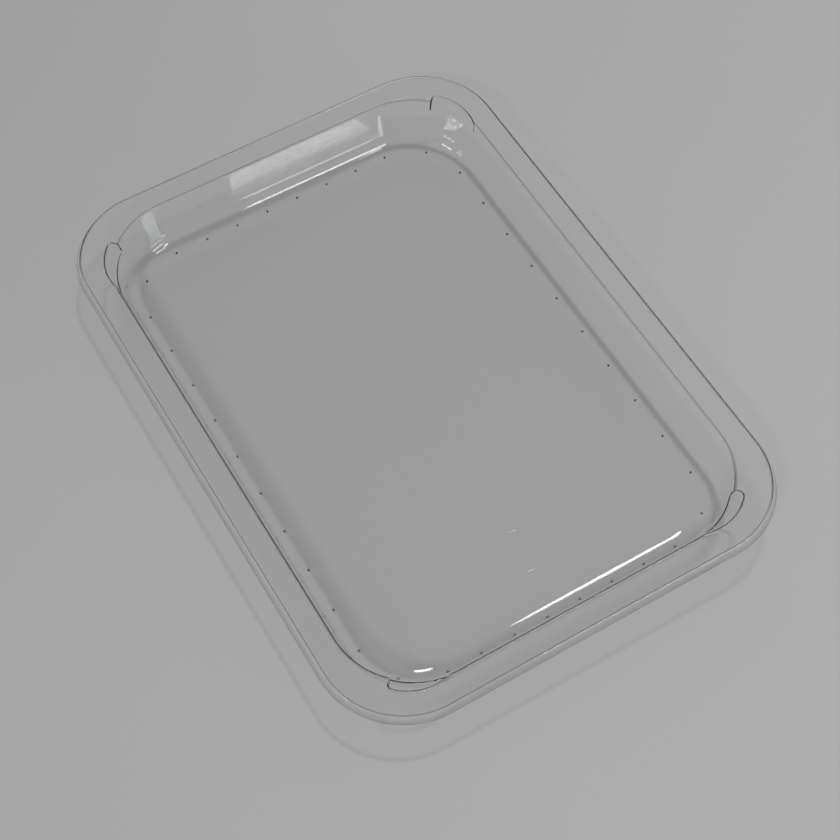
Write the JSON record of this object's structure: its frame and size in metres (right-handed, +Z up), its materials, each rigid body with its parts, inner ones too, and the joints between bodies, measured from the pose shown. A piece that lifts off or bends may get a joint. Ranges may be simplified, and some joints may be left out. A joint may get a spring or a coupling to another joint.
{
  "type": "plastic food tray",
  "caption": "Shallow clear one-piece tray with round corners, leaning walls, a flat sealing flange and a short turned-down lip, for holding and sealing food.",
  "frame": {"origin": "centre of the flat underside that the tray rests on", "axes": "+X along the tray's length, +Y across it, +Z up out of the basin; the pockets at the -X end taper to the long sides, those at the +X end to the short side"},
  "size_m": [0.1856, 0.1344, 0.0176],
  "materials": {
    "clear_sheet": "clear gloss"
  },
  "bodies": {
    "root": {"tray": "clear_sheet"}
  },
  "joints": []
}
